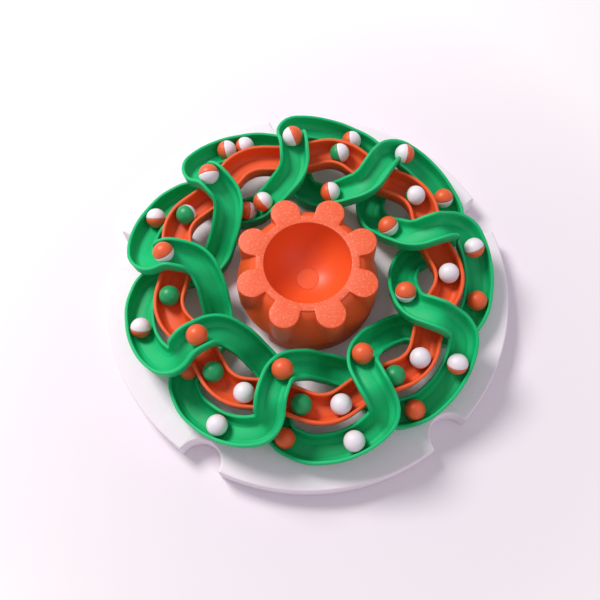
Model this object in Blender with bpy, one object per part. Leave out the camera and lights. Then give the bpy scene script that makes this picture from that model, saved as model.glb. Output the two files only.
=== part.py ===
"""Twisty snake ball-track puzzle.

A woven pair of open ball tracks stands on a round base: a green strand that goes round the ring twice
and crosses over itself nine times, and an orange ring threaded between its passes. Two-coloured balls
roll in both. A lobed knob with a deep bowl turns on a bolt in the middle.
Units are metres, Z is up, and the origin is the centre of the base's underside.
"""

from math import acos, asin, atan2, ceil, cos, pi, radians, sin, sqrt, tan

import bmesh
import bpy
from mathutils import Matrix, Vector

MM = 0.001

# ---------------------------------------------------------------- driving sizes
LOBES = 9                          # crossings round the ring
TURNS = 2                          # the green strand goes round twice
FIRST_CROSSING = radians(97.2)     # where over-crossing 0 stands

BASE_RADIUS = 98 * MM
BASE_THICKNESS = 12 * MM
BASE_BEVEL = 1.0 * MM
NOTCHES = 5
NOTCH_RADIUS = 10 * MM
NOTCH_PHASE = radians(24)

BALL_DIAMETER = 9.6 * MM
BALL_SIDE_CLEARANCE = 0.6 * MM     # each side of a ball, in the trough
BALL_LIFT = 0.3 * MM               # ball above the trough's floor
HEADROOM = 0.4 * MM                # ball below the trough that crosses over it
WALL = 1.6 * MM
FLOOR = 2.0 * MM
BALL_PROUD = 3.3 * MM              # top of a ball above the trough's lip
SIDE_DRAFT = 0.9 * MM              # the outside leans in this much towards the foot
CHANNEL_DRAFT = 0.3 * MM           # the inside leans in this much above the cove
COVE_HEIGHT = 2.2 * MM             # where the side turns into the floor
FLAT_FLOOR = 0.52                  # flat part of the floor, of the channel's width
GAP = 0.3 * MM                     # between pieces that touch

GREEN_OUTER = 82.0 * MM            # centre line, widest part of the outer arc
GREEN_INNER = 45.2 * MM            # centre line, narrowest part of the inner arc
ORANGE_OUTER = 68.4 * MM           # centre line, middle of a lobe
ORANGE_INNER = 60.8 * MM           # centre line, under a green crossing
ORANGE_PARTS = 3

KNOB_TOP = 42 * MM
KNOB_LOBES = 8
KNOB_LOBE_RADIUS = 6.9 * MM
KNOB_LOBE_CIRCLE = 27.1 * MM
KNOB_WEB_RADIUS = 24 * MM
KNOB_SKIRT_RADIUS = 33.5 * MM
KNOB_FLARE = 0.6                   # below 1: the body between the grips widens soon below the top
KNOB_HUB_RADIUS = 19.7 * MM
BOWL_RADIUS = 20.1 * MM
PLUG_RADIUS = 5.4 * MM
PLUG_THICKNESS = 3.0 * MM
COLLAR_RADIUS = 33 * MM
COLLAR_HEIGHT = 10.4 * MM
COLLAR_NOTCH_DEPTH = 5.5 * MM
COLLAR_NOTCH = (radians(195), radians(236))

BOLT_RADIUS = 2.5 * MM
BOLT_HEAD_RADIUS = 4.25 * MM
BOLT_HEAD_HEIGHT = 3.2 * MM
BOLT_CLEARANCE = 0.3 * MM
WASHER_RADIUS = 5.5 * MM
WASHER_THICKNESS = 0.9 * MM
NUT_ACROSS_FLATS = 8 * MM
NUT_HEIGHT = 2.7 * MM
BUSH_WALL = 1.2 * MM
POST_RADIUS = 3.0 * MM

# ---------------------------------------------------------------- sizes that follow from them
SIDE_HEIGHT = BALL_DIAMETER + BALL_LIFT - BALL_PROUD            # floor to lip
CHANNEL_HALF = BALL_DIAMETER / 2 + BALL_SIDE_CLEARANCE
TROUGH_HALF = CHANNEL_HALF + WALL
TROUGH_HEIGHT = FLOOR + SIDE_HEIGHT
PITCH = FLOOR + BALL_DIAMETER + HEADROOM + BALL_LIFT - GAP      # one crossing level to the next
LOW_LIP = BASE_THICKNESS + GAP + TROUGH_HEIGHT                  # lip of the lowest pass
BALL_PAIR = BALL_DIAMETER + 0.5 * MM                            # between two balls side by side
TIGHT = TROUGH_HALF + 1.2 * MM                                  # tightest bend of a centre line
LOBE_ANGLE = 2 * pi / LOBES
GREEN_PERIOD = TURNS * LOBE_ANGLE

# The strand's corners over one period: angle past its own over-crossing in degrees, radius, level
# (0 lowest pass, 1 the orange ring, 2 the over-crossing) and bend radius.
GREEN_CORNERS = [
    (0.0, GREEN_OUTER - 5.3 * MM, 1.30, TIGHT),                 # outer corner, turning inwards
    (-1.2, (GREEN_OUTER + GREEN_INNER) / 2 + 0.5 * MM, 2.0, 30 * MM),   # middle of the over-crossing
    (-0.6, GREEN_INNER + 4.8 * MM, 1.68, TIGHT + 5 * MM),       # inner corner
    (13.0, GREEN_INNER - 0.4 * MM, 1.0, 20 * MM),
    (26.0, GREEN_INNER + 0.3 * MM, 0.22, 14 * MM),              # end of the inner arc
    (35.5, GREEN_INNER + 4.8 * MM, 0.0, TIGHT + 2 * MM),        # turning outwards, low
    (39.0, (GREEN_OUTER + GREEN_INNER) / 2 - 0.5 * MM, 0.0, 30 * MM),   # under the orange ring
    (43.5, GREEN_OUTER - 5.9 * MM, 0.0, TIGHT + 1 * MM),        # turning along the rim
    (52.5, GREEN_OUTER - 1.0 * MM, 0.05, 20 * MM),
    (63.0, GREEN_OUTER, 0.36, 40 * MM),                         # outer arc, climbing
    (72.0, GREEN_OUTER - 1.5 * MM, 0.80, 30 * MM),
]
GREEN_JOINT_CORNER = 6                                          # segments meet under the orange ring

ORANGE_CORNERS = [
    (0.0, ORANGE_INNER, 1.0, 14 * MM),
    (20.0, ORANGE_OUTER, 1.0, 18 * MM),
]

# Balls as (crossing number, distance along the centre line from that crossing's first corner).
GREEN_TRACK_BALLS = [
    (0, -31 * MM), (0, 10.5 * MM), (0, 40.5 * MM), (0, 40.5 * MM + BALL_PAIR),
    (1, -21.5 * MM - BALL_PAIR), (1, -21.5 * MM), (1, 11.5 * MM),
    (2, -27 * MM), (2, 11 * MM),
    (3, -25 * MM), (3, 15 * MM),
    (4, -57 * MM), (4, -21 * MM), (4, 23 * MM),
    (5, -49 * MM), (5, -15 * MM), (5, 25.5 * MM),
    (6, -41 * MM), (6, -11.5 * MM), (6, 29.5 * MM),
    (7, -33 * MM), (7, -8 * MM), (7, 34.5 * MM),
    (8, -32 * MM), (8, -3 * MM), (8, 38 * MM),
]
ORANGE_TRACK_BALLS = [
    (1, 18 * MM), (2, 15.5 * MM), (3, 13.5 * MM), (4, -14.5 * MM), (4, 11.5 * MM), (5, -16 * MM),
    (5, 11.5 * MM), (6, -19.5 * MM), (7, -20.5 * MM), (8, -22.5 * MM), (8, 21.5 * MM),
]


# ---------------------------------------------------------------- scene and materials
def clear_scene():
    for thing in list(bpy.data.objects):
        bpy.data.objects.remove(thing, do_unlink=True)


def material(name, colour, roughness, metallic=0.0):
    made = bpy.data.materials.new(name)
    made.use_nodes = True
    shader = made.node_tree.nodes["Principled BSDF"]
    shader.inputs["Base Color"].default_value = (*colour, 1.0)
    shader.inputs["Roughness"].default_value = roughness
    shader.inputs["Metallic"].default_value = metallic
    return made


def orange_plastic():
    return material("orange_print", (0.85, 0.12, 0.02), 0.55)


def green_plastic():
    return material("green_print", (0.01, 0.42, 0.17), 0.5)


def white_plastic():
    return material("white_print", (0.82, 0.80, 0.84), 0.6)


def steel():
    return material("zinc_steel", (0.62, 0.62, 0.64), 0.3, 1.0)


def brass():
    return material("brass", (0.72, 0.52, 0.22), 0.3, 1.0)


# ---------------------------------------------------------------- mesh helpers
def finish(name, mesh_data, finish_material, smooth_below=None):
    bmesh.ops.remove_doubles(mesh_data, verts=mesh_data.verts, dist=0.00001)
    bmesh.ops.recalc_face_normals(mesh_data, faces=mesh_data.faces)
    mesh = bpy.data.meshes.new(name)
    mesh_data.to_mesh(mesh)
    mesh_data.free()
    mesh.materials.append(finish_material)
    if smooth_below:
        mesh.shade_smooth()
        mesh.set_sharp_from_angle(angle=smooth_below)
    made = bpy.data.objects.new(name, mesh)
    bpy.context.scene.collection.objects.link(made)
    return made


def skin(name, rings, finish_material, closed_loop, smooth_below=radians(40)):
    """Quads between successive rings of points; a ring of one point is a pole."""
    shape = bmesh.new()
    rows = [[shape.verts.new(point) for point in ring] for ring in rings]
    pairs = list(zip(rows, rows[1:]))
    if closed_loop:
        pairs.append((rows[-1], rows[0]))
    for low, high in pairs:
        count = max(len(low), len(high))
        for i in range(count):
            j = (i + 1) % count
            corners = [low[i % len(low)], low[j % len(low)], high[j % len(high)], high[i % len(high)]]
            face = list(dict.fromkeys(corners))
            shape.faces.new(face)
    return finish(name, shape, finish_material, smooth_below)


def circle(radius, height, segments, phase=0.0):
    if radius == 0:
        return [Vector((0, 0, height))]
    angles = [phase + 2 * pi * i / segments for i in range(segments)]
    return [Vector((radius * cos(a), radius * sin(a), height)) for a in angles]


def turned(name, profile, finish_material, segments):
    """A body of revolution; its (radius, height) profile starts and ends on the axis or is a closed loop."""
    rings = [circle(radius, height, segments) for radius, height in profile]
    return skin(name, rings, finish_material, closed_loop=profile[0][0] != 0)


# ---------------------------------------------------------------- centre lines of the tracks
def corner(corners, period, index):
    lap, which = divmod(index, len(corners))
    angle, radius, level, bend = corners[which]
    angle = radians(angle) + period * lap
    return Vector((radius * cos(angle), radius * sin(angle))), level, bend


def rounded_corner(corners, period, index, step=radians(46)):
    """Points of the arc that rounds one corner, an odd number of them."""
    before = corner(corners, period, index - 1)[0]
    here, _, bend = corner(corners, period, index)
    after = corner(corners, period, index + 1)[0]
    back, ahead = before - here, after - here
    turn = pi - acos(max(-1.0, min(1.0, back.normalized().dot(ahead.normalized()))))
    reach = min(bend * tan(turn / 2), 0.49 * back.length, 0.49 * ahead.length)
    radius = reach / tan(turn / 2)
    middle = (back.normalized() + ahead.normalized()).normalized()
    centre = here + middle * sqrt(radius * radius + reach * reach)
    start = here + back.normalized() * reach - centre
    stop = here + ahead.normalized() * reach - centre
    first = atan2(start.y, start.x)
    sweep = (atan2(stop.y, stop.x) - first + pi) % (2 * pi) - pi
    parts = 2 * max(1, ceil(abs(sweep) / step))
    angles = [first + sweep * i / parts for i in range(parts + 1)]
    return [centre + radius * Vector((cos(a), sin(a))) for a in angles]


class Route:
    """A track's centre line at lip height, measured along its length from crossing 0's first corner."""

    def __init__(self, corners, period):
        self.period_angle = period
        self.stations, self.points = [], []
        self.marks, self.levels = [], []
        count = len(corners)
        length = 0.0
        for index in range(-count - 1, 2 * count + 2):
            arc = rounded_corner(corners, period, index)
            for number, point in enumerate(arc):
                if self.points:
                    length += (point - self.points[-1]).length
                self.stations.append(length)
                self.points.append(point)
                if number == len(arc) // 2:
                    self.marks.append(length)
                    self.levels.append(LOW_LIP + PITCH * corner(corners, period, index)[1])
        origin = self.marks[count + 1]
        self.stations = [station - origin for station in self.stations]
        self.marks = [mark - origin for mark in self.marks]
        self.length = self.marks[2 * count + 1]
        self.corner_marks = self.marks[count + 1:2 * count + 1]
        self.slopes = self.level_slopes()

    def level_slopes(self):
        """Slope of the height curve at each mark, none where it would overshoot."""
        marks, levels = self.marks, self.levels
        rises = [(levels[i + 1] - levels[i]) / (marks[i + 1] - marks[i]) for i in range(len(marks) - 1)]
        slopes = [0.0]
        for before, after in zip(rises, rises[1:]):
            same_way = before * after > 0
            slopes.append(2 * before * after / (before + after) if same_way else 0.0)
        return slopes + [0.0]

    def height(self, distance):
        i = max(k for k, mark in enumerate(self.marks[:-1]) if mark <= distance or k == 0)
        span = self.marks[i + 1] - self.marks[i]
        t = (distance - self.marks[i]) / span
        low, high = self.levels[i], self.levels[i + 1]
        bend = (1 - t) * self.slopes[i] - t * self.slopes[i + 1]
        blend = t * t * (3 - 2 * t)
        return low + (high - low) * blend + span * t * (1 - t) * bend

    def at(self, distance):
        i = max(k for k, station in enumerate(self.stations[:-1]) if station <= distance or k == 0)
        t = (distance - self.stations[i]) / (self.stations[i + 1] - self.stations[i])
        flat = self.points[i].lerp(self.points[i + 1], t)
        return Vector((flat.x, flat.y, self.height(distance)))

    def along(self, distance, reach=1 * MM):
        return (self.at(distance + reach) - self.at(distance - reach)).normalized()

    def across(self, distance):
        ahead = self.along(distance)
        return Vector((ahead.y, -ahead.x, 0)).normalized()

    def sections(self, start, stop, longest=9 * MM, shortest=1.9 * MM):
        """Distances of the cross-sections between two ends: every bend point, and no long straight."""
        inside = [s for s in self.stations if start + shortest < s < stop - shortest]
        chosen = [start]
        for station in inside + [stop]:
            if station - chosen[-1] < shortest:
                continue
            pieces = ceil((station - chosen[-1]) / longest)
            base = chosen[-1]
            chosen += [base + (station - base) * (i + 1) / pieces for i in range(pieces)]
        return chosen

    def ball_centre(self, distance):
        """Centre of a ball that rests on the trough's floor."""
        ahead = self.along(distance, 2 * MM)
        floor_normal = self.across(distance).cross(ahead).normalized()
        if floor_normal.z < 0:
            floor_normal = -floor_normal
        floor_point = self.at(distance) - Vector((0, 0, SIDE_HEIGHT))
        return floor_point + floor_normal * (BALL_DIAMETER / 2 + BALL_LIFT)


def trough_section():
    """Outline of the U-shaped trough, x across and y up from the lip."""
    half = [
        (TROUGH_HALF - SIDE_DRAFT, -TROUGH_HEIGHT),
        (TROUGH_HALF, 0.0),
        (CHANNEL_HALF, 0.0),
        (CHANNEL_HALF - CHANNEL_DRAFT, COVE_HEIGHT - SIDE_HEIGHT),
        (CHANNEL_HALF * FLAT_FLOOR, -SIDE_HEIGHT),
    ]
    return half + [(-x, y) for x, y in reversed(half)]


def turned_about(point, crossing):
    angle = FIRST_CROSSING + LOBE_ANGLE * crossing
    return Matrix.Rotation(angle, 3, "Z") @ point


def trough_rings(route, distances, crossing):
    """Cross-sections of a trough at the given distances, upright and square to its centre line."""
    rings = []
    for distance in distances:
        centre = route.at(distance)
        side = route.across(distance)
        ring = [centre + side * x + Vector((0, 0, y)) for x, y in trough_section()]
        rings.append([turned_about(point, crossing) for point in ring])
    return rings


def trough(name, rings, finish_material):
    shape = bmesh.new()
    rows = [[shape.verts.new(point) for point in ring] for ring in rings]
    for low, high in zip(rows, rows[1:]):
        for i in range(len(low)):
            j = (i + 1) % len(low)
            shape.faces.new([low[i], low[j], high[j], high[i]])
    shape.faces.new(rows[0])
    shape.faces.new(rows[-1])
    return finish(name, shape, finish_material, radians(35))


# ---------------------------------------------------------------- pieces
def build_green_track(route, finish_material):
    joint = route.corner_marks[GREEN_JOINT_CORNER]
    distances = route.sections(joint - route.length + GAP / 2, joint - GAP / 2)
    for crossing in range(LOBES):
        rings = trough_rings(route, distances, crossing)
        trough(f"green_track_segment_{crossing + 1}", rings, finish_material)


def build_orange_track(route, finish_material):
    """Three sections of three lobes each, parted by a small gap under an over-crossing."""
    lobes_each = LOBES // ORANGE_PARTS
    for part in range(ORANGE_PARTS):
        rings = []
        for lobe in range(lobes_each):
            start = GAP / 2 if lobe == 0 else 0.0
            stop = route.length - (GAP / 2 if lobe == lobes_each - 1 else 0.0)
            distances = route.sections(start, stop)[(1 if lobe else 0):]
            rings += trough_rings(route, distances, part * lobes_each + lobe)
        trough(f"orange_track_segment_{part + 1}", rings, finish_material)


def build_balls(names, route, places, finish_material):
    for number, (crossing, distance) in enumerate(places):
        shape = bmesh.new()
        bmesh.ops.create_icosphere(shape, subdivisions=2, radius=BALL_DIAMETER / 2)
        ball = finish(f"{names}_{number + 1:02d}", shape, finish_material, radians(60))
        ball.location = turned_about(route.ball_centre(distance), crossing)


def base_outline_radius(angle, radius):
    """The rim's radius at an angle: a half-round finger notch cuts in at five places."""
    spacing = 2 * pi / NOTCHES
    off = (angle - NOTCH_PHASE + spacing / 2) % spacing - spacing / 2
    inside = NOTCH_RADIUS ** 2 - (BASE_RADIUS * sin(off)) ** 2
    if inside <= 0:
        return radius
    return min(radius, BASE_RADIUS * cos(off) - sqrt(inside) + (BASE_RADIUS - radius))


def base_angles():
    """Angles of the rim's points: fine across each notch, coarse between."""
    spacing = 2 * pi / NOTCHES
    edge = asin(NOTCH_RADIUS / BASE_RADIUS)
    fractions = (-1.0, -0.96, -0.8, -0.45, 0.0, 0.45, 0.8, 0.96, 1.0)
    angles = []
    for notch in range(NOTCHES):
        middle = NOTCH_PHASE + spacing * notch
        angles += [middle + edge * f for f in fractions]
        plain = 8
        step = (spacing - 2 * edge) / plain
        angles += [middle + edge + step * i for i in range(1, plain)]
    return angles


def build_base(finish_material):
    angles = base_angles()

    def rim(radius, height):
        reaches = [base_outline_radius(a, radius) for a in angles]
        return [Vector((reach * cos(a), reach * sin(a), height)) for reach, a in zip(reaches, angles)]

    def bore(radius, height):
        return [Vector((radius * cos(a), radius * sin(a), height)) for a in angles]

    bush_hole = BOLT_RADIUS + BOLT_CLEARANCE + BUSH_WALL + GAP
    pocket = WASHER_RADIUS + 2 * GAP
    pocket_top = head_pocket_depth()
    rings = [
        bore(bush_hole, BASE_THICKNESS),
        rim(BASE_RADIUS - BASE_BEVEL, BASE_THICKNESS),
        rim(BASE_RADIUS, BASE_THICKNESS - BASE_BEVEL),
        rim(BASE_RADIUS, BASE_BEVEL / 2),
        rim(BASE_RADIUS - BASE_BEVEL / 2, 0.0),
        bore(pocket, 0.0),
        bore(pocket, pocket_top),
        bore(bush_hole, pocket_top),
    ]
    skin("base_plate", rings, finish_material, closed_loop=True, smooth_below=radians(25))


def head_pocket_depth():
    return 2 * GAP + BOLT_HEAD_HEIGHT + GAP + WASHER_THICKNESS + GAP


def knob_angles():
    spacing = 2 * pi / KNOB_LOBES
    offsets = (-22.5, -15.5, -12.0, -5.0, 5.0, 12.0, 15.5)
    return [spacing * (lobe + 0.5) + radians(o) for lobe in range(KNOB_LOBES) for o in offsets]


def knob_outline(angle, web):
    """Outer radius of the knob at an angle, where the round web has the given radius."""
    spacing = 2 * pi / KNOB_LOBES
    off = angle % spacing - spacing / 2
    inside = KNOB_LOBE_RADIUS ** 2 - (KNOB_LOBE_CIRCLE * sin(off)) ** 2
    if inside <= 0:
        return web
    return max(web, KNOB_LOBE_CIRCLE * cos(off) + sqrt(inside))


def build_knob(finish_material):
    angles = knob_angles()
    foot = BASE_THICKNESS + GAP
    skirt = foot + COLLAR_HEIGHT + GAP
    web_steps = (0.0, 0.4, 0.75, 1.0)

    def outline(web, height):
        reaches = [knob_outline(a, web) for a in angles]
        return [Vector((reach * cos(a), reach * sin(a), height)) for reach, a in zip(reaches, angles)]

    def ring(radius, height):
        return [Vector((radius * cos(a), radius * sin(a), height)) for a in angles]

    rings = []
    for step in web_steps:
        flare = (1 - step) ** KNOB_FLARE
        web = KNOB_WEB_RADIUS + (KNOB_SKIRT_RADIUS - KNOB_WEB_RADIUS) * flare
        rings.append(outline(web, skirt + (KNOB_TOP - skirt) * step))
    flat_radius = PLUG_RADIUS + GAP
    bowl_span = pi / 2 - asin(flat_radius / BOWL_RADIUS)
    bowl_rings = 5
    for i in range(bowl_rings + 1):
        dip = bowl_span * i / bowl_rings
        rings.append(ring(BOWL_RADIUS * cos(dip), KNOB_TOP - BOWL_RADIUS * sin(dip)))
    hole = BOLT_RADIUS + GAP
    rings += [
        ring(flat_radius, nut_seat()),
        ring(hole, nut_seat()),
        ring(hole, foot),
        ring(KNOB_HUB_RADIUS, foot),
        ring(KNOB_HUB_RADIUS, skirt),
    ]
    skin("knob", rings, finish_material, closed_loop=True, smooth_below=radians(38))


def bowl_floor():
    return KNOB_TOP - sqrt(BOWL_RADIUS ** 2 - (PLUG_RADIUS + GAP) ** 2)


def nut_seat():
    return bowl_floor() - PLUG_THICKNESS - NUT_HEIGHT - 3 * GAP


def build_plug(finish_material):
    top = bowl_floor()
    bottom = top - PLUG_THICKNESS
    profile = [(0, bottom), (PLUG_RADIUS, bottom), (PLUG_RADIUS, top), (0, top)]
    turned("bowl_plug", profile, finish_material, 24)


def build_collar(finish_material):
    """The ring under the knob's skirt, cut back over one sector."""
    low = BASE_THICKNESS + GAP
    high = low + COLLAR_HEIGHT
    inner = KNOB_HUB_RADIUS + GAP
    start, stop = COLLAR_NOTCH
    steps = 6
    cut = [(start + (stop - start) * i / steps, COLLAR_RADIUS - COLLAR_NOTCH_DEPTH) for i in range(steps + 1)]
    plain_steps = 36
    sweep = 2 * pi - (stop - start)
    lead = radians(0.6)
    plain_step = (sweep - 2 * lead) / plain_steps
    plain = [(stop + lead + plain_step * i, COLLAR_RADIUS) for i in range(plain_steps + 1)]
    outline = cut + plain

    def ring(height, outer):
        return [Vector(((r if outer else inner) * cos(a), (r if outer else inner) * sin(a), height))
                for a, r in outline]

    rings = [ring(low, False), ring(low, True), ring(high, True), ring(high, False)]
    skin("knob_collar", rings, finish_material, closed_loop=True, smooth_below=radians(25))


def build_bolt(finish_material):
    head_low = 2 * GAP
    head_high = head_low + BOLT_HEAD_HEIGHT
    tip = nut_seat() + GAP + NUT_HEIGHT
    socket = 1.9 * MM
    profile = [
        (0, head_low + BOLT_HEAD_HEIGHT / 2),
        (socket, head_low + BOLT_HEAD_HEIGHT / 2),
        (socket, head_low),
        (BOLT_HEAD_RADIUS, head_low),
        (BOLT_HEAD_RADIUS, head_high),
        (BOLT_RADIUS, head_high),
        (BOLT_RADIUS, tip),
        (0, tip),
    ]
    turned("knob_bolt", profile, finish_material, 24)


def build_washer(finish_material):
    low = 2 * GAP + BOLT_HEAD_HEIGHT + GAP
    high = low + WASHER_THICKNESS
    hole = BOLT_RADIUS + GAP
    profile = [(hole, low), (WASHER_RADIUS, low), (WASHER_RADIUS, high), (hole, high)]
    turned("bolt_washer", profile, finish_material, 24)


def build_bush(finish_material):
    low = head_pocket_depth() + GAP
    high = BASE_THICKNESS - GAP
    inner = BOLT_RADIUS + BOLT_CLEARANCE
    outer = inner + BUSH_WALL
    turned("bolt_bush", [(inner, low), (outer, low), (outer, high), (inner, high)], finish_material, 24)


def build_nut(finish_material):
    low = nut_seat() + GAP
    high = low + NUT_HEIGHT
    sides, each = 6, 4
    hole = BOLT_RADIUS + GAP
    angles = [2 * pi * i / (sides * each) for i in range(sides * each)]

    def hexagon(height):
        points = []
        for a in angles:
            off = a % (2 * pi / sides) - pi / sides
            reach = NUT_ACROSS_FLATS / 2 / cos(off)
            points.append(Vector((reach * cos(a), reach * sin(a), height)))
        return points

    rings = [circle(hole, low, len(angles)), hexagon(low), hexagon(high), circle(hole, high, len(angles))]
    skin("knob_nut", rings, finish_material, closed_loop=True, smooth_below=radians(25))


def build_posts(route, finish_material):
    """One post under the middle lobe of each orange segment."""
    lobes_each = LOBES // ORANGE_PARTS
    low = BASE_THICKNESS + GAP
    for part in range(ORANGE_PARTS):
        crossing = part * lobes_each + lobes_each // 2
        place = turned_about(route.at(route.length / 2), crossing)
        high = place.z - TROUGH_HEIGHT - GAP
        profile = [(0, low), (POST_RADIUS, low), (POST_RADIUS, high), (0, high)]
        post = turned(f"orange_track_post_{part + 1}", profile, finish_material, 16)
        post.location = (place.x, place.y, 0)


def build_all():
    clear_scene()
    orange, green, white = orange_plastic(), green_plastic(), white_plastic()
    green_route = Route(GREEN_CORNERS, GREEN_PERIOD)
    orange_route = Route(ORANGE_CORNERS, LOBE_ANGLE)
    build_base(white)
    build_green_track(green_route, green)
    build_orange_track(orange_route, orange)
    build_posts(orange_route, white)
    build_balls("orange_white_ball", green_route, GREEN_TRACK_BALLS, orange)
    build_balls("green_white_ball", orange_route, ORANGE_TRACK_BALLS, green)
    build_knob(orange)
    build_collar(orange)
    build_plug(orange)
    build_bolt(steel())
    build_washer(steel())
    build_nut(steel())
    build_bush(brass())


build_all()
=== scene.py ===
from math import acos, asin, atan2, ceil, cos, pi, radians, sin, sqrt, tan

import bpy
from mathutils import Matrix, Vector


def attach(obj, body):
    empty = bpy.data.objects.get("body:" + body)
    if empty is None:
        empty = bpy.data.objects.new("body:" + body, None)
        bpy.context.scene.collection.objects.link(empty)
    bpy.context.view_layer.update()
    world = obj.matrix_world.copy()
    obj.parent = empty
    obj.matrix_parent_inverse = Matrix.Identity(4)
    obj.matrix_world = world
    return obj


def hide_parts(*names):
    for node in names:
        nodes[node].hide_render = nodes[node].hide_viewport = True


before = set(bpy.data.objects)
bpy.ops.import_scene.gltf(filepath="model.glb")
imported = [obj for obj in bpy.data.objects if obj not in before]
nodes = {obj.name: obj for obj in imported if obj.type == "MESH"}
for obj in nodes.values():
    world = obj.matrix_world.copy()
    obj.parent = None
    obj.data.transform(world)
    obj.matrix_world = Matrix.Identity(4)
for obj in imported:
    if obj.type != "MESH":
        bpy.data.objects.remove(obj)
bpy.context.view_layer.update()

# ------------------------------------------------------------------ base plate
# The base is one round printed plate, 12 mm thick, in white plastic. Five half-round notches in its
# rim let a finger steady or lift it. Its printed skin shows fine straight passes and a softened edge.
MM = 0.001
BASE_RADIUS = 98 * MM
BASE_THICKNESS = 12 * MM
BASE_EDGE = 1.0 * MM
NOTCHES = 5
NOTCH_RADIUS = 10 * MM
NOTCH_PHASE = radians(24)
BORE_RADIUS = 4.3 * MM
POCKET_RADIUS = 6.1 * MM
POCKET_DEPTH = 5.3 * MM
WHITE_PRINT = (0.90, 0.82, 0.89)


def add_sockets(group, inputs, outputs):
    """Opens a node group's named inputs (name, kind, value) and outputs (name, kind)."""
    for name, kind, value in inputs:
        socket = group.interface.new_socket(name, in_out="INPUT", socket_type=kind)
        socket.default_value = value
    for name, kind in outputs:
        group.interface.new_socket(name, in_out="OUTPUT", socket_type=kind)


def math_node(tree, operation, first, second=None, clamp=False):
    node = tree.nodes.new("ShaderNodeMath")
    node.operation = operation
    node.use_clamp = clamp
    for socket, value in zip(node.inputs, (first, second)):
        if value is None:
            continue
        if isinstance(value, (int, float)):
            socket.default_value = value
        else:
            tree.links.new(value, socket)
    return node.outputs[0]


def mix_colour(tree, factor, first, second, blend="MIX"):
    node = tree.nodes.new("ShaderNodeMix")
    node.data_type = "RGBA"
    node.blend_type = blend
    for socket, value in zip((node.inputs[0], node.inputs[6], node.inputs[7]), (factor, first, second)):
        if isinstance(value, (int, float, tuple)):
            socket.default_value = value
        else:
            tree.links.new(value, socket)
    return node.outputs[2]


def noise(tree, where, scale, detail=2.0, roughness=0.5):
    node = tree.nodes.new("ShaderNodeTexNoise")
    tree.links.new(where, node.inputs["Vector"])
    node.inputs["Scale"].default_value = scale
    node.inputs["Detail"].default_value = detail
    node.inputs["Roughness"].default_value = roughness
    return node.outputs["Fac"]


def printed_skin_group():
    """Fused-filament plastic: stacked layers, fine grain, slight uneven tone and painted edge highlights."""
    group = bpy.data.node_groups.new("printed_skin", "ShaderNodeTree")
    inputs = [
        ("Plastic", "NodeSocketColor", (0.8, 0.8, 0.8, 1.0)),
        ("Edge Tint", "NodeSocketColor", (1.0, 1.0, 1.0, 1.0)),
        ("Layer Height", "NodeSocketFloat", 0.0003),
        ("Grain", "NodeSocketFloat", 0.3),
        ("Mottle", "NodeSocketFloat", 0.1),
        ("Gloss", "NodeSocketFloat", 0.45),
    ]
    outputs = [
        ("Colour", "NodeSocketColor"),
        ("Roughness", "NodeSocketFloat"),
        ("Height", "NodeSocketFloat"),
    ]
    add_sockets(group, inputs, outputs)
    given = group.nodes.new("NodeGroupInput")
    result = group.nodes.new("NodeGroupOutput")
    place = group.nodes.new("ShaderNodeTexCoord").outputs["Object"]
    split = group.nodes.new("ShaderNodeSeparateXYZ")
    group.links.new(place, split.inputs[0])
    phase = math_node(group, "DIVIDE", split.outputs["Z"], given.outputs["Layer Height"])
    wobble = math_node(group, "MULTIPLY", noise(group, place, 90.0), 1.4)
    turn = math_node(group, "MULTIPLY", math_node(group, "ADD", phase, wobble), 2 * pi)
    layers = math_node(group, "MULTIPLY", math_node(group, "SINE", turn), 0.5)
    fine = noise(group, place, 2600.0, 3.0, 0.6)
    grain = math_node(group, "MULTIPLY", math_node(group, "SUBTRACT", fine, 0.5), given.outputs["Grain"])
    height = math_node(group, "ADD", math_node(group, "MULTIPLY", layers, 0.30), grain)
    group.links.new(height, result.inputs["Height"])
    broad = math_node(group, "SUBTRACT", noise(group, place, 70.0, 4.0, 0.6), 0.5)
    tone = math_node(group, "MULTIPLY", broad, given.outputs["Mottle"])
    tone = math_node(group, "ADD", tone, math_node(group, "MULTIPLY", grain, 0.35))
    tone = math_node(group, "ADD", tone, math_node(group, "MULTIPLY", layers, 0.03))
    shade = math_node(group, "ADD", tone, 1.0)
    grey = group.nodes.new("ShaderNodeCombineColor")
    for channel in grey.inputs:
        group.links.new(shade, channel)
    body = mix_colour(group, 1.0, given.outputs["Plastic"], grey.outputs[0], "MULTIPLY")
    # painted highlight: convex edges are mixed toward a lighter colour, as if they catch the light
    geometry = group.nodes.new("ShaderNodeNewGeometry")
    past_flat = math_node(group, "SUBTRACT", geometry.outputs["Pointiness"], 0.52)
    painted_edge_highlight = math_node(group, "MULTIPLY", past_flat, 6.0, True)
    colour = mix_colour(group, math_node(group, "MULTIPLY", painted_edge_highlight, 0.35), body, given.outputs["Edge Tint"])
    group.links.new(colour, result.inputs["Colour"])
    roughness = math_node(group, "ADD", given.outputs["Gloss"], math_node(group, "MULTIPLY", broad, 0.25))
    group.links.new(roughness, result.inputs["Roughness"])
    return group


printed_skin = printed_skin_group()


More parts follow.
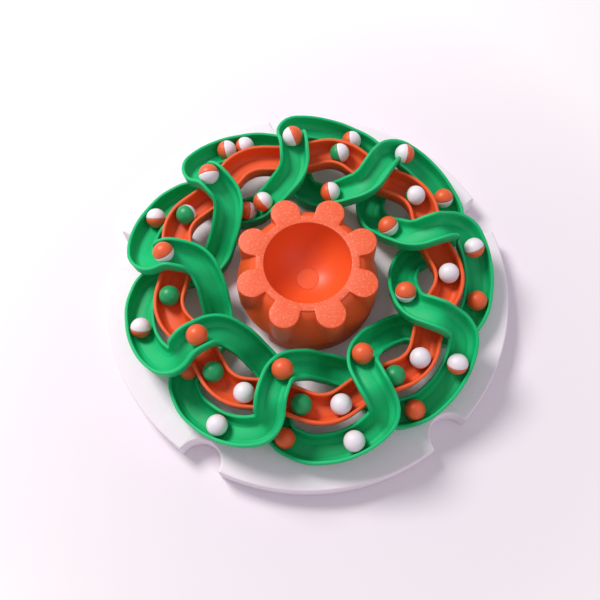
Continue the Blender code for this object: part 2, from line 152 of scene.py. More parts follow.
def printed_plastic(name, plastic, edge_highlight, grain, mottle, gloss, bump):
    made = bpy.data.materials.new(name)
    made.use_nodes = True
    tree = made.node_tree
    shader = tree.nodes["Principled BSDF"]
    skin = tree.nodes.new("ShaderNodeGroup")
    skin.node_tree = printed_skin
    skin.inputs["Plastic"].default_value = (*plastic, 1.0)
    skin.inputs["Edge Tint"].default_value = (*edge_highlight, 1.0)
    skin.inputs["Grain"].default_value = grain
    skin.inputs["Mottle"].default_value = mottle
    skin.inputs["Gloss"].default_value = gloss
    tree.links.new(skin.outputs["Colour"], shader.inputs["Base Color"])
    tree.links.new(skin.outputs["Roughness"], shader.inputs["Roughness"])
    relief = tree.nodes.new("ShaderNodeBump")
    relief.inputs["Strength"].default_value = bump
    relief.inputs["Distance"].default_value = 0.00012
    tree.links.new(skin.outputs["Height"], relief.inputs["Height"])
    tree.links.new(relief.outputs["Normal"], shader.inputs["Normal"])
    shader.inputs["Specular IOR Level"].default_value = 0.35
    return made


# the second colour is the painted highlight on the base's convex edges
white_print = printed_plastic("white_print", WHITE_PRINT, (0.95, 0.93, 0.97), 0.10, 0.05, 0.55, 0.35)


def mesh_piece(name, points, faces, finish, sharp):
    mesh = bpy.data.meshes.new(name)
    mesh.from_pydata(points, [], faces)
    mesh.validate()
    mesh.materials.append(finish)
    mesh.shade_smooth()
    mesh.set_sharp_from_angle(angle=sharp)
    made = bpy.data.objects.new(name, mesh)
    bpy.context.scene.collection.objects.link(made)
    return made


def banded(name, rings, finish, sharp=radians(35), closed_loop=True):
    """Bands of faces between equal rings of points, the last joined to the first, all facing out."""
    size = len(rings[0])
    points = [point for ring in rings for point in ring]
    bands = len(rings) if closed_loop else len(rings) - 1
    faces = []
    for band in range(bands):
        low, high = band * size, (band + 1) % len(rings) * size
        faces += [(low + i, low + (i + 1) % size, high + (i + 1) % size, high + i) for i in range(size)]
    if not closed_loop:
        faces.append(tuple(range(size))[::-1])
        faces.append(tuple(range((len(rings) - 1) * size, len(rings) * size)))
    return mesh_piece(name, points, faces, finish, sharp)


def rim_radius(angle, inset):
    """Radius of the rim at an angle, with the notches cut in and the edge drawn in by the inset."""
    spacing = 2 * pi / NOTCHES
    off = (angle - NOTCH_PHASE + spacing / 2) % spacing - spacing / 2
    inside = (NOTCH_RADIUS + inset) ** 2 - (BASE_RADIUS * sin(off)) ** 2
    plain = BASE_RADIUS - inset
    if inside <= 0:
        return plain
    return min(plain, BASE_RADIUS * cos(off) - sqrt(inside))


def rim_angles():
    """Even steps round the rim, with each notch's corners and floor picked out finely."""
    spacing = 2 * pi / NOTCHES
    reach = asin((NOTCH_RADIUS + BASE_EDGE) / BASE_RADIUS)
    angles = []
    for notch in range(NOTCHES):
        middle = NOTCH_PHASE + notch * spacing
        angles += [middle + reach * sin(pi / 2 * i / 24) for i in range(-24, 24)]
        plain = 60
        angles += [middle + reach + (spacing - 2 * reach) * i / plain for i in range(plain)]
    return angles


def base_ring(angles, height, inset):
    return [(rim_radius(a, inset) * cos(a), rim_radius(a, inset) * sin(a), height) for a in angles]


def plain_ring(angles, radius, height):
    return [(radius * cos(a), radius * sin(a), height) for a in angles]


def build_base():
    angles = rim_angles()
    rounding = [radians(90) * i / 4 for i in range(5)]
    rings = [plain_ring(angles, BORE_RADIUS, BASE_THICKNESS)]
    rings += [base_ring(angles, BASE_THICKNESS - BASE_EDGE * (1 - cos(a)), BASE_EDGE * (1 - sin(a)))
              for a in rounding]
    foot = BASE_EDGE / 2
    rings += [base_ring(angles, foot * (1 - sin(a)), foot * (1 - cos(a))) for a in rounding]
    rings += [
        plain_ring(angles, POCKET_RADIUS, 0.0),
        plain_ring(angles, POCKET_RADIUS, POCKET_DEPTH),
        plain_ring(angles, BORE_RADIUS, POCKET_DEPTH),
    ]
    rings.reverse()
    base = banded("base_plate_print", rings, white_print, radians(40))
    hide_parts("base_plate")
    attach(base, "base")


build_base()

# ------------------------------------------------------------------ posts under the orange trough
# Three short white posts stand on the base under the middle of each orange section and carry it.
# They are printed with the base and stay plain round pegs.
for number in (1, 2, 3):
    nodes[f"orange_track_post_{number}"].data.materials[0] = white_print

# ------------------------------------------------------------------ green trough
# One green trough goes twice round the ring as nine lobes, each passing over the next. It is printed
# with thin upright walls, a rounded lip and a hollowed floor, in nine sections that meet under lobes.
LOBES = 9
FIRST_CROSSING = radians(97.2)
LOBE_ANGLE = 2 * pi / LOBES
GREEN_PERIOD = 2 * LOBE_ANGLE
BALL_RADIUS = 4.8 * MM
CHANNEL_HALF = 5.4 * MM
TROUGH_HALF = 7.0 * MM
SIDE_HEIGHT = 6.6 * MM
TROUGH_HEIGHT = 8.6 * MM
PITCH = 12.0 * MM
LOW_LIP = 20.9 * MM
SECTION_GAP = 0.3 * MM
GREEN_PRINT = (0.002, 0.50, 0.17)
# lighter green painted on convex edges as a highlight
GREEN_EDGE_HIGHLIGHT = (0.02, 0.68, 0.34)
MIDDLE = 63.6 * MM
TIGHT_BEND = 8.2 * MM

# corners of the strand: degrees past its own crossing, radius, level and bend radius
GREEN_CORNERS = [
    (0.0, 76.7 * MM, 1.30, TIGHT_BEND),
    (-1.2, MIDDLE + 0.5 * MM, 2.0, 30 * MM),
    (-0.6, 50.0 * MM, 1.68, TIGHT_BEND + 5 * MM),
    (13.0, 44.8 * MM, 1.0, 20 * MM),
    (26.0, 45.5 * MM, 0.22, 14 * MM),
    (35.5, 50.0 * MM, 0.0, TIGHT_BEND + 2 * MM),
    (39.0, MIDDLE - 0.5 * MM, 0.0, 30 * MM),
    (43.5, 76.1 * MM, 0.0, TIGHT_BEND + 1 * MM),
    (52.5, 81.0 * MM, 0.05, 20 * MM),
    (63.0, 82.0 * MM, 0.36, 40 * MM),
    (72.0, 80.5 * MM, 0.80, 30 * MM),
]
GREEN_JOINT_CORNER = 6


def corner(corners, period, index):
    lap, which = divmod(index, len(corners))
    angle, radius, level, bend = corners[which]
    angle = radians(angle) + period * lap
    return Vector((radius * cos(angle), radius * sin(angle))), level, bend


def rounded_corner(corners, period, index, step=radians(16)):
    """Points of the arc that rounds one corner, an odd number of them."""
    before = corner(corners, period, index - 1)[0]
    here, _, bend = corner(corners, period, index)
    after = corner(corners, period, index + 1)[0]
    back, ahead = before - here, after - here
    turn = pi - acos(max(-1.0, min(1.0, back.normalized().dot(ahead.normalized()))))
    reach = min(bend * tan(turn / 2), 0.49 * back.length, 0.49 * ahead.length)
    radius = reach / tan(turn / 2)
    middle = (back.normalized() + ahead.normalized()).normalized()
    centre = here + middle * sqrt(radius * radius + reach * reach)
    start = here + back.normalized() * reach - centre
    stop = here + ahead.normalized() * reach - centre
    first = atan2(start.y, start.x)
    sweep = (atan2(stop.y, stop.x) - first + pi) % (2 * pi) - pi
    parts = 2 * max(1, ceil(abs(sweep) / step))
    angles = [first + sweep * i / parts for i in range(parts + 1)]
    return [centre + radius * Vector((cos(a), sin(a))) for a in angles]


class TroughLine:
    """A trough's centre line at lip height, measured along it from crossing 0's outer corner."""

    def __init__(self, corners, period):
        self.stations, self.points, self.marks, self.levels = [], [], [], []
        count = len(corners)
        length = 0.0
        for index in range(-count - 1, 2 * count + 2):
            arc = rounded_corner(corners, period, index)
            for number, point in enumerate(arc):
                if self.points:
                    length += (point - self.points[-1]).length
                self.stations.append(length)
                self.points.append(point)
                if number == len(arc) // 2:
                    self.marks.append(length)
                    self.levels.append(LOW_LIP + PITCH * corner(corners, period, index)[1])
        origin = self.marks[count + 1]
        self.stations = [station - origin for station in self.stations]
        self.marks = [mark - origin for mark in self.marks]
        self.length = self.marks[2 * count + 1]
        self.corner_marks = self.marks[count + 1:2 * count + 1]
        self.slopes = self.level_slopes()

    def level_slopes(self):
        marks, levels = self.marks, self.levels
        rises = [(levels[i + 1] - levels[i]) / (marks[i + 1] - marks[i]) for i in range(len(marks) - 1)]
        slopes = [0.0]
        for before, after in zip(rises, rises[1:]):
            same_way = before * after > 0
            slopes.append(2 * before * after / (before + after) if same_way else 0.0)
        return slopes + [0.0]

    def height(self, distance):
        i = max(k for k, mark in enumerate(self.marks[:-1]) if mark <= distance or k == 0)
        span = self.marks[i + 1] - self.marks[i]
        t = (distance - self.marks[i]) / span
        low, high = self.levels[i], self.levels[i + 1]
        bend = (1 - t) * self.slopes[i] - t * self.slopes[i + 1]
        return low + (high - low) * t * t * (3 - 2 * t) + span * t * (1 - t) * bend

    def at(self, distance):
        i = max(k for k, station in enumerate(self.stations[:-1]) if station <= distance or k == 0)
        t = (distance - self.stations[i]) / (self.stations[i + 1] - self.stations[i])
        flat = self.points[i].lerp(self.points[i + 1], t)
        return Vector((flat.x, flat.y, self.height(distance)))

    def along(self, distance, reach=1 * MM):
        return (self.at(distance + reach) - self.at(distance - reach)).normalized()

    def across(self, distance):
        ahead = self.along(distance)
        return Vector((ahead.y, -ahead.x, 0)).normalized()

    def sections(self, start, stop, spacing=1.6 * MM):
        count = ceil((stop - start) / spacing)
        return [start + (stop - start) * i / count for i in range(count + 1)]

    def ball_centre(self, distance):
        ahead = self.along(distance, 2 * MM)
        upright = self.across(distance).cross(ahead).normalized()
        if upright.z < 0:
            upright = -upright
        return self.at(distance) - Vector((0, 0, SIDE_HEIGHT)) + upright * (BALL_RADIUS + SECTION_GAP)


def trough_outline():
    """Closed outline of the trough, x across and y up from the lip: skirt, lip, wall, cove and floor."""
    lip_roll = 0.55 * MM
    half = [
        (0.0, -TROUGH_HEIGHT),
        (TROUGH_HALF - 1.4 * MM, -TROUGH_HEIGHT),
        (TROUGH_HALF - 0.95 * MM, -TROUGH_HEIGHT + 0.4 * MM),
    ]
    for i in range(5):
        turn = radians(90) * i / 4
        half.append((TROUGH_HALF - lip_roll * (1 - cos(turn)), -lip_roll * (1 - sin(turn))))
    for i in range(5):
        turn = radians(90) * i / 4
        half.append((CHANNEL_HALF + lip_roll * (1 - sin(turn)), -lip_roll * (1 - cos(turn))))
    half += [
        (CHANNEL_HALF - 0.15 * MM, -2.6 * MM),
        (CHANNEL_HALF - 0.30 * MM, -4.4 * MM),
        (CHANNEL_HALF - 0.65 * MM, -5.4 * MM),
        (CHANNEL_HALF - 1.35 * MM, -6.15 * MM),
        (CHANNEL_HALF - 2.35 * MM, -SIDE_HEIGHT + 0.05 * MM),
        (CHANNEL_HALF - 2.60 * MM, -SIDE_HEIGHT - 0.12 * MM),
        (CHANNEL_HALF - 2.85 * MM, -SIDE_HEIGHT),
        (0.0, -SIDE_HEIGHT - 0.10 * MM),
    ]
    return half + [(-x, y) for x, y in reversed(half[1:-1])]


TROUGH_OUTLINE = trough_outline()


def trough_ring(line, distance, crossing):
    turn = Matrix.Rotation(FIRST_CROSSING + LOBE_ANGLE * crossing, 3, "Z")
    centre, side = line.at(distance), line.across(distance)
    return [tuple(turn @ (centre + side * x + Vector((0, 0, y)))) for x, y in TROUGH_OUTLINE]


green_print = printed_plastic("green_print", GREEN_PRINT, GREEN_EDGE_HIGHLIGHT, 0.30, 0.26, 0.55, 0.8)
green_line = TroughLine(GREEN_CORNERS, GREEN_PERIOD)
green_joint = green_line.corner_marks[GREEN_JOINT_CORNER]
for lobe in range(LOBES):
    start = green_joint - green_line.length + SECTION_GAP / 2
    distances = green_line.sections(start, green_joint - SECTION_GAP / 2)
    rings = [trough_ring(green_line, distance, lobe) for distance in distances]
    section = banded(f"green_trough_{lobe + 1}", rings, green_print, radians(50), closed_loop=False)
    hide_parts(f"green_track_segment_{lobe + 1}")
    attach(section, "base")

# ------------------------------------------------------------------ orange ring trough
# The second trough is a plain wavy ring in orange plastic, one wave to each green lobe, threaded
# level between the high and low green passes. It is printed in three sections that butt together.
ORANGE_CORNERS = [
    (0.0, 60.8 * MM, 1.0, 14 * MM),
    (20.0, 68.4 * MM, 1.0, 18 * MM),
]
ORANGE_SECTIONS = 3
ORANGE_PRINT = (0.85, 0.105, 0.022)
# lighter orange painted on convex edges as a highlight
ORANGE_EDGE_HIGHLIGHT = (0.95, 0.22, 0.08)
orange_print = printed_plastic("orange_print", ORANGE_PRINT, ORANGE_EDGE_HIGHLIGHT, 0.30, 0.22, 0.50, 0.8)
orange_line = TroughLine(ORANGE_CORNERS, LOBE_ANGLE)
for part in range(ORANGE_SECTIONS):
    waves = LOBES // ORANGE_SECTIONS
    rings = []
    for wave in range(waves):
        begin = SECTION_GAP / 2 if wave == 0 else 0.0
        end = orange_line.length - (SECTION_GAP / 2 if wave == waves - 1 else 0.0)
        distances = orange_line.sections(begin, end, 1.2 * MM)[(1 if wave else 0):]
        rings += [trough_ring(orange_line, distance, part * waves + wave) for distance in distances]
    section = banded(f"orange_trough_{part + 1}", rings, orange_print, radians(50), closed_loop=False)
    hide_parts(f"orange_track_segment_{part + 1}")
    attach(section, "base")

# ------------------------------------------------------------------ two-coloured balls
# Each ball is two printed half shells, one white, pressed together on a fine seam. Twenty-six orange
# and white balls run in the green trough, and eleven green and white ones in the orange trough.
BALL_WHITE = (0.86, 0.80, 0.86)
BALL_ORANGE = (0.82, 0.12, 0.03)
BALL_GREEN = (0.006, 0.32, 0.10)
SEAM_WIDTH = 0.22 * MM
SEAM_DEPTH = 0.12 * MM
HALVES_BLEND = 0.15 * MM


def half_and_half(name, colour):
    """White above the seam and coloured below it, with a shaded seam line."""
    made = bpy.data.materials.new(name)
    made.use_nodes = True
    tree = made.node_tree
    shader = tree.nodes["Principled BSDF"]
    above = tree.nodes.new("ShaderNodeAttribute")
    above.attribute_name = "above_seam"
    upper = math_node(tree, "MULTIPLY", above.outputs["Fac"], 1 / HALVES_BLEND, True)
    halves = mix_colour(tree, upper, (*colour, 1.0), (*BALL_WHITE, 1.0))
    near = math_node(tree, "DIVIDE", math_node(tree, "ABSOLUTE", above.outputs["Fac"]), SEAM_WIDTH, True)
    shadow = math_node(tree, "MULTIPLY", math_node(tree, "SUBTRACT", 1.0, near), 0.45)
    seamed = mix_colour(tree, shadow, halves, (0.10, 0.03, 0.02, 1.0))
    skin = tree.nodes.new("ShaderNodeGroup")
    skin.node_tree = printed_skin
    # pale painted highlight on the ball's convex edges
    skin.inputs["Edge Tint"].default_value = (0.9, 0.85, 0.85, 1.0)
    skin.inputs["Layer Height"].default_value = 0.0002
    skin.inputs["Grain"].default_value = 0.18
    skin.inputs["Mottle"].default_value = 0.10
    skin.inputs["Gloss"].default_value = 0.42
    tree.links.new(seamed, skin.inputs["Plastic"])
    tree.links.new(skin.outputs["Colour"], shader.inputs["Base Color"])
    tree.links.new(skin.outputs["Roughness"], shader.inputs["Roughness"])
    relief = tree.nodes.new("ShaderNodeBump")
    relief.inputs["Strength"].default_value = 0.4
    relief.inputs["Distance"].default_value = 0.0001
    tree.links.new(skin.outputs["Height"], relief.inputs["Height"])
    tree.links.new(relief.outputs["Normal"], shader.inputs["Normal"])
    return made


def ball_mesh(name, finish):
    """A turned ball with its pole at the middle of the white half and a groove round the seam."""
    around, down = 40, 24
    angles = [2 * pi * i / around for i in range(around)]
    tilts = [pi * i / down for i in range(1, down)]
    groove = SEAM_WIDTH / 2 / BALL_RADIUS
    tilts = sorted(tilts + [pi / 2 - groove, pi / 2 + groove])
    points = [(0, 0, BALL_RADIUS)]
    for tilt in tilts:
        radius = BALL_RADIUS - (SEAM_DEPTH if abs(tilt - pi / 2) < groove / 2 else 0.0)
        ring, height = radius * sin(tilt), radius * cos(tilt)
        points += [(ring * cos(a), ring * sin(a), height) for a in angles]
    points.append((0, 0, -BALL_RADIUS))
    last = len(points) - 1
    faces = [(0, 1 + i, 1 + (i + 1) % around) for i in range(around)]
    for band in range(len(tilts) - 1):
        high, low = 1 + band * around, 1 + (band + 1) * around
        faces += [(high + i, low + i, low + (i + 1) % around, high + (i + 1) % around) for i in range(around)]
    foot = 1 + (len(tilts) - 1) * around
    faces += [(foot + i, last, foot + (i + 1) % around) for i in range(around)]
    mesh = bpy.data.meshes.new(name)
    mesh.from_pydata(points, [], faces)
    mesh.materials.append(finish)
    mesh.shade_smooth()
    above = mesh.attributes.new("above_seam", "FLOAT", "POINT")
    above.data.foreach_set("value", [point[2] for point in points])
    return mesh


def set_balls(kind, line, mesh, places):
    """Each place: crossing, distance in mm along the trough, and which way the white half faces."""
    for number, (crossing, distance, white_side) in enumerate(places):
        node = f"{kind}_{number + 1:02d}"
        turned_mesh = mesh.copy()
        turned_mesh.transform(Vector(white_side).to_track_quat("Z", "X").to_matrix().to_4x4())
        ball = bpy.data.objects.new(f"{node}_print", turned_mesh)
        bpy.context.scene.collection.objects.link(ball)
        turn = Matrix.Rotation(FIRST_CROSSING + LOBE_ANGLE * crossing, 3, "Z")
        ball.location = turn @ line.ball_centre(distance * MM)
        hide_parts(node)
        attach(ball, f"{node}_body")


orange_white = half_and_half("orange_white_ball", BALL_ORANGE)
green_white = half_and_half("green_white_ball", BALL_GREEN)
orange_white_shell = ball_mesh("orange_white_ball_shell", orange_white)
set_balls("orange_white_ball", green_line, orange_white_shell, [
    (0, -31, (0.95, 0.0, 0.3)),
    (0, 10.5, (-0.85, -0.35, -0.15)),
    (0, 40.5, (0.8, 0.5, 0.4)),
    (0, 50.6, (0.95, 0.1, -0.4)),
    (1, -31.6, (0.8, 0.1, 0.6)),
    (1, -21.5, (0.95, 0.1, 0.2)),
    (1, 11.5, (0.2, -0.9, -0.25)),
    (2, -27, (0.0, 0.85, 0.5)),
    (2, 11, (0.4, -0.5, -0.85)),
    (3, -25, (0.1, 0.75, 0.7)),
    (3, 15, (0.0, 0.35, -0.95)),
    (4, -57, (0.0, 0.35, -0.95)),
    (4, -21, (0.0, -0.35, 0.95)),
    (4, 23, (0.0, 0.35, -0.95)),
    (5, -49, (0.0, 0.35, -0.95)),
    (5, -15, (0.0, -0.35, 0.95)),
    (5, 25.5, (0.0, 0.35, -0.95)),
    (6, -41, (0.0, 0.35, -0.95)),
    (6, -11.5, (0.0, 0.6, 0.8)),
    (6, 29.5, (0.0, -0.55, -0.9)),
    (7, -33, (0.0, 0.35, -0.95)),
    (7, -8, (-0.4, 0.6, 0.6)),
    (7, 34.5, (0.55, -0.55, -0.65)),
    (8, -32, (0.2, -0.6, -0.85)),
    (8, -3, (-0.9, 0.0, 0.25)),
    (8, 38, (0.9, 0.1, 0.25)),
])
green_white_shell = ball_mesh("green_white_ball_shell", green_white)
set_balls("green_white_ball", orange_line, green_white_shell, [
    (1, 18, (0.5, 0.7, -0.6)),
    (2, 15.5, (0.0, 0.35, -0.95)),
    (3, 13.5, (0.0, 0.35, -0.95)),
    (4, -14.5, (0.0, -0.35, 0.95)),
    (4, 11.5, (0.0, 0.35, -0.95)),
    (5, -16, (0.0, -0.35, 0.95)),
    (5, 11.5, (0.0, 0.35, -0.95)),
    (6, -19.5, (0.0, -0.35, 0.95)),
    (7, -20.5, (0.0, -0.35, 0.95)),
    (8, -22.5, (0.4, -0.3, 0.85)),
    (8, 21.5, (0.9, 0.1, 0.3)),
])

# ------------------------------------------------------------------ bush, bolt, washer and nut
# The knob turns on a bolt that comes up through a brass bush in the base. A washer under the base and
# a nut sunk in the knob hold it, all in bright zinc-plated steel but for the bush.
STEEL = (0.62, 0.62, 0.64)
BRASS = (0.72, 0.50, 0.20)


def turned_metal(name, metal, roughness):
    """Machined metal: fine circular tool marks round the axis and slight clouding."""
    made = bpy.data.materials.new(name)
    made.use_nodes = True
    tree = made.node_tree
    shader = tree.nodes["Principled BSDF"]
    place = tree.nodes.new("ShaderNodeTexCoord").outputs["Object"]
    rings = tree.nodes.new("ShaderNodeTexWave")
    rings.wave_type = "RINGS"
    rings.rings_direction = "Z"
    rings.inputs["Scale"].default_value = 900.0
    tree.links.new(place, rings.inputs["Vector"])
    cloud = noise(tree, place, 400.0, 3.0, 0.6)
    tone = mix_colour(tree, cloud, (*[c * 0.8 for c in metal], 1.0), (*metal, 1.0))
    tree.links.new(tone, shader.inputs["Base Color"])
    rough = math_node(tree, "ADD", math_node(tree, "MULTIPLY", rings.outputs["Fac"], 0.12), roughness)
    tree.links.new(rough, shader.inputs["Roughness"])
    shader.inputs["Metallic"].default_value = 1.0
    return made


zinc_steel = turned_metal("zinc_steel", STEEL, 0.22)
turned_brass = turned_metal("brass", BRASS, 0.25)
for name in ("knob_bolt", "bolt_washer", "knob_nut"):
    nodes[name].data.materials[0] = zinc_steel
nodes["bolt_bush"].data.materials[0] = turned_brass

# ------------------------------------------------------------------ knob collar
# A low orange ring fills the gap under the knob's skirt and turns with it. One stretch of it is cut
# back, which leaves an open step under the skirt. It is pushed onto the knob's hub from below.
HUB_GAP_RADIUS = 20.0 * MM
COLLAR_RADIUS = 33.0 * MM
COLLAR_FOOT = 12.3 * MM
COLLAR_TOP = 22.7 * MM
COLLAR_CUT = 5.5 * MM
COLLAR_CUT_FROM = radians(195)
COLLAR_CUT_TO = radians(236)
COLLAR_EDGE = 0.5 * MM


def collar_radius(angle, inset):
    """Outer radius: full all round, but cut back over one stretch with short blended ends."""
    lead = radians(0.6)
    into = min(1.0, max(0.0, (angle - COLLAR_CUT_FROM + lead) / lead))
    out = min(1.0, max(0.0, (COLLAR_CUT_TO + lead - angle) / lead))
    return COLLAR_RADIUS - inset - COLLAR_CUT * min(into, out)


def build_collar():
    steps = 360
    angles = [2 * pi * i / steps for i in range(steps)]
    angles += [COLLAR_CUT_FROM - radians(0.6), COLLAR_CUT_FROM, COLLAR_CUT_TO, COLLAR_CUT_TO + radians(0.6)]
    angles = sorted(set(round(a, 6) for a in angles))

    def outer(height, inset):
        return [(collar_radius(a, inset) * cos(a), collar_radius(a, inset) * sin(a), height) for a in angles]

    rings = [
        plain_ring(angles, HUB_GAP_RADIUS, COLLAR_FOOT),
        outer(COLLAR_FOOT, COLLAR_EDGE),
        outer(COLLAR_FOOT + COLLAR_EDGE * 0.3, COLLAR_EDGE * 0.3),
        outer(COLLAR_FOOT + COLLAR_EDGE, 0.0),
        outer(COLLAR_TOP - COLLAR_EDGE, 0.0),
        outer(COLLAR_TOP - COLLAR_EDGE * 0.3, COLLAR_EDGE * 0.3),
        outer(COLLAR_TOP, COLLAR_EDGE),
        plain_ring(angles, HUB_GAP_RADIUS, COLLAR_TOP),
    ]
    collar = banded("knob_collar_print", rings, orange_print, radians(40))
    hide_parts("knob_collar")
    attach(collar, "turning_knob")


build_collar()

# ------------------------------------------------------------------ scalloped knob and bowl plug
# The knob is one orange print: a flat grainy top with eight round grips that run down into a flared
# skirt, and a smooth round bowl for a thumb. A small flush plug in the bowl's floor hides the nut.
KNOB_TOP = 42 * MM
KNOB_GRIPS = 8
GRIP_RADIUS = 6.9 * MM
GRIP_CIRCLE = 27.1 * MM
KNOB_FLARE = 0.6
WEB_RADIUS = 24 * MM
SKIRT_RADIUS = 33.5 * MM
SKIRT_HEIGHT = 23.0 * MM
HUB_RADIUS = 19.7 * MM
BOWL_RADIUS = 20.1 * MM
BOWL_FLAT = 5.5 * MM
KNOB_FOOT = 12.3 * MM
NUT_SEAT = 15.4 * MM
KNOB_HOLE = 2.8 * MM
TOP_ROUNDING = 0.7 * MM
BOWL_LIP = 0.35 * MM
BOWL_STEPS = 24


def knob_print():
    """Orange print: a grainy flat top painted lighter with painted glints; the turned faces are smoother."""
    made = printed_plastic("knob_print", ORANGE_PRINT, ORANGE_EDGE_HIGHLIGHT, 0.16, 0.10, 0.40, 0.45)
    tree = made.node_tree
    shader = tree.nodes["Principled BSDF"]
    skin = next(node for node in tree.nodes if node.type == "GROUP")
    relief = next(node for node in tree.nodes if node.type == "BUMP")
    place = tree.nodes.new("ShaderNodeTexCoord").outputs["Object"]
    split = tree.nodes.new("ShaderNodeSeparateXYZ")
    tree.links.new(place, split.inputs[0])
    top = math_node(tree, "SUBTRACT", split.outputs["Z"], KNOB_TOP - 0.4 * MM)
    top = math_node(tree, "DIVIDE", top, 0.3 * MM, True)
    specks = noise(tree, place, 1100.0, 4.0, 0.75)
    sharp_specks = math_node(tree, "MULTIPLY", math_node(tree, "SUBTRACT", specks, 0.54), 9.0, True)
    # painted highlight: sparse specks on the top face are painted as bright glints in the base colour
    painted_glints = math_node(tree, "MULTIPLY", sharp_specks, top)
    painted_glints = math_node(tree, "MULTIPLY", painted_glints, 0.55)
    # painted light: the whole top face is painted a lighter orange, as if lit from above
    painted_top_light_mask = math_node(tree, "MULTIPLY", top, 0.6)
    top_painted_lighter = mix_colour(tree, painted_top_light_mask, skin.outputs["Colour"], (0.88, 0.13, 0.05, 1.0))
    colour = mix_colour(tree, painted_glints, top_painted_lighter, (1.0, 0.45, 0.32, 1.0))
    tree.links.new(colour, shader.inputs["Base Color"])
    rough_top = math_node(tree, "MULTIPLY", math_node(tree, "MULTIPLY", specks, top), 3.0)
    height = math_node(tree, "ADD", skin.outputs["Height"], rough_top)
    tree.links.new(height, relief.inputs["Height"])
    return made


def knob_radius(angle, web):
    """The round web's radius, or a grip's where it stands proud of the web."""
    spacing = 2 * pi / KNOB_GRIPS
    off = angle % spacing - spacing / 2
    inside = GRIP_RADIUS ** 2 - (GRIP_CIRCLE * sin(off)) ** 2
    if inside <= 0:
        return web
    return max(web, GRIP_CIRCLE * cos(off) + sqrt(inside))


def build_knob(finish):
    steps = KNOB_GRIPS * 48
    angles = [2 * pi * i / steps for i in range(steps)]

    def outer(height, web, inset):
        radii = [knob_radius(a, web) - inset for a in angles]
        return [(r * cos(a), r * sin(a), height) for r, a in zip(radii, angles)]

    rings = [plain_ring(angles, HUB_RADIUS, SKIRT_HEIGHT)]
    body_steps = 14
    for i in range(body_steps + 1):
        rise = i / body_steps
        web = WEB_RADIUS + (SKIRT_RADIUS - WEB_RADIUS) * (1 - rise) ** KNOB_FLARE
        height = SKIRT_HEIGHT + (KNOB_TOP - TOP_ROUNDING - SKIRT_HEIGHT) * rise
        rings.append(outer(height, web, 0.0))
    for i in range(1, 5):
        turn = radians(90) * i / 4
        height = KNOB_TOP - TOP_ROUNDING * (1 - sin(turn))
        rings.append(outer(height, WEB_RADIUS, TOP_ROUNDING * (1 - cos(turn))))
    lip = BOWL_LIP
    rings.append(plain_ring(angles, BOWL_RADIUS + lip, KNOB_TOP))
    rings.append(plain_ring(angles, BOWL_RADIUS + lip * 0.25, KNOB_TOP - lip * 0.25))
    floor_dip = pi / 2 - asin(BOWL_FLAT / BOWL_RADIUS)
    for i in range(1, BOWL_STEPS + 1):
        dip = floor_dip * i / BOWL_STEPS
        rings.append(plain_ring(angles, BOWL_RADIUS * cos(dip), KNOB_TOP - BOWL_RADIUS * sin(dip)))
    rings += [
        plain_ring(angles, BOWL_FLAT, NUT_SEAT),
        plain_ring(angles, KNOB_HOLE, NUT_SEAT),
        plain_ring(angles, KNOB_HOLE, KNOB_FOOT),
        plain_ring(angles, HUB_RADIUS, KNOB_FOOT),
    ]
    knob = banded("knob_print_body", rings, finish, radians(38))
    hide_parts("knob")
    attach(knob, "turning_knob")


knob_finish = knob_print()
build_knob(knob_finish)
nodes["bowl_plug"].data.materials[0] = knob_finish

# ------------------------------------------------------------------ floor, light and camera
# A seamless pale table, one soft lamp high at the back left, a weak one from the right, and a camera
# that looks steeply down from the front.
CAMERA_HEIGHT_ANGLE = radians(68.3)
CAMERA_DISTANCE = 0.400
CAMERA_LENS = 47.7
# reach of the painted shade on the table round the object
FLOOR_SHADE_REACH = 0.20
FLOOR_DROP = 0.0002


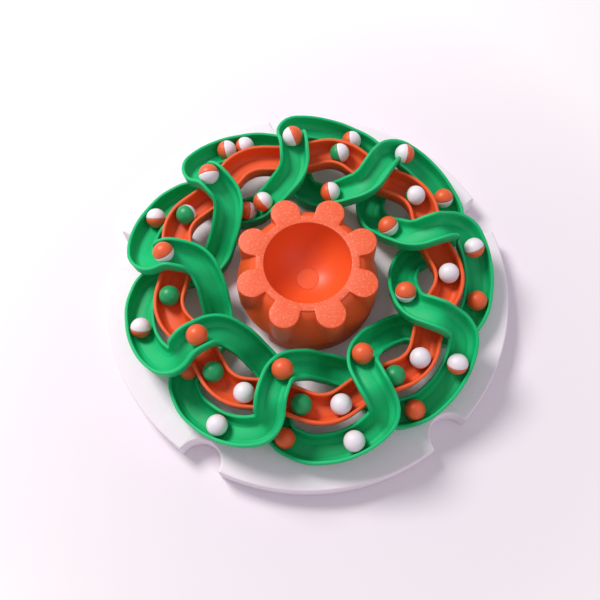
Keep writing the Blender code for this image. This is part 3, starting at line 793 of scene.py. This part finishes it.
def paper_floor():
    made = bpy.data.materials.new("pale_table")
    made.use_nodes = True
    tree = made.node_tree
    shader = tree.nodes["Principled BSDF"]
    place = tree.nodes.new("ShaderNodeTexCoord").outputs["Object"]
    soft = noise(tree, place, 6.0)
    reach = tree.nodes.new("ShaderNodeVectorMath")
    reach.operation = "LENGTH"
    tree.links.new(place, reach.inputs[0])
    away = math_node(tree, "DIVIDE", reach.outputs["Value"], FLOOR_SHADE_REACH, True)
    away = math_node(tree, "POWER", away, 3.0)
    # painted shade: the table is darker and pinker round the object, fading to near white further out
    near = mix_colour(tree, soft, (0.86, 0.79, 0.86, 1.0), (0.89, 0.82, 0.88, 1.0))
    tree.links.new(mix_colour(tree, away, near, (0.97, 0.95, 0.96, 1.0)), shader.inputs["Base Color"])
    shader.inputs["Roughness"].default_value = 0.9
    return made


half_floor = 3.0
floor_corners = [(-1, -1), (1, -1), (1, 1), (-1, 1)]
floor_points = [(x * half_floor, y * half_floor, -FLOOR_DROP) for x, y in floor_corners]
floor = mesh_piece("floor", floor_points, [(0, 1, 2, 3)], paper_floor(), radians(30))


def soft_lamp(name, place, size, power, colour):
    data = bpy.data.lights.new(name, "AREA")
    data.shape = "DISK"
    data.size = size
    data.energy = power
    data.color = colour
    lamp = bpy.data.objects.new(name, data)
    lamp.location = place
    lamp.rotation_euler = Vector(place).to_track_quat("Z", "Y").to_euler()
    bpy.context.scene.collection.objects.link(lamp)


soft_lamp("window_lamp", (-0.55, 0.45, 0.85), 0.40, 10.0, (1.0, 0.97, 0.95))
soft_lamp("fill_lamp", (0.7, -0.5, 0.7), 0.8, 1.2, (0.95, 0.93, 1.0))
world = bpy.data.worlds.new("studio")
world.use_nodes = True
world.node_tree.nodes["Background"].inputs["Color"].default_value = (0.93, 0.88, 0.95, 1.0)
world.node_tree.nodes["Background"].inputs["Strength"].default_value = 0.46
bpy.context.scene.world = world
bpy.context.scene.view_settings.view_transform = "Standard"

camera_data = bpy.data.cameras.new("camera")
camera_data.lens = CAMERA_LENS
camera_data.shift_x = -0.0127
camera_data.shift_y = -0.0063
camera_data.clip_start = 0.01
camera = bpy.data.objects.new("camera", camera_data)
camera.location = (0, -CAMERA_DISTANCE * cos(CAMERA_HEIGHT_ANGLE), CAMERA_DISTANCE * sin(CAMERA_HEIGHT_ANGLE))
camera.rotation_euler = (pi / 2 - CAMERA_HEIGHT_ANGLE, 0, 0)
bpy.context.scene.collection.objects.link(camera)
bpy.context.scene.camera = camera
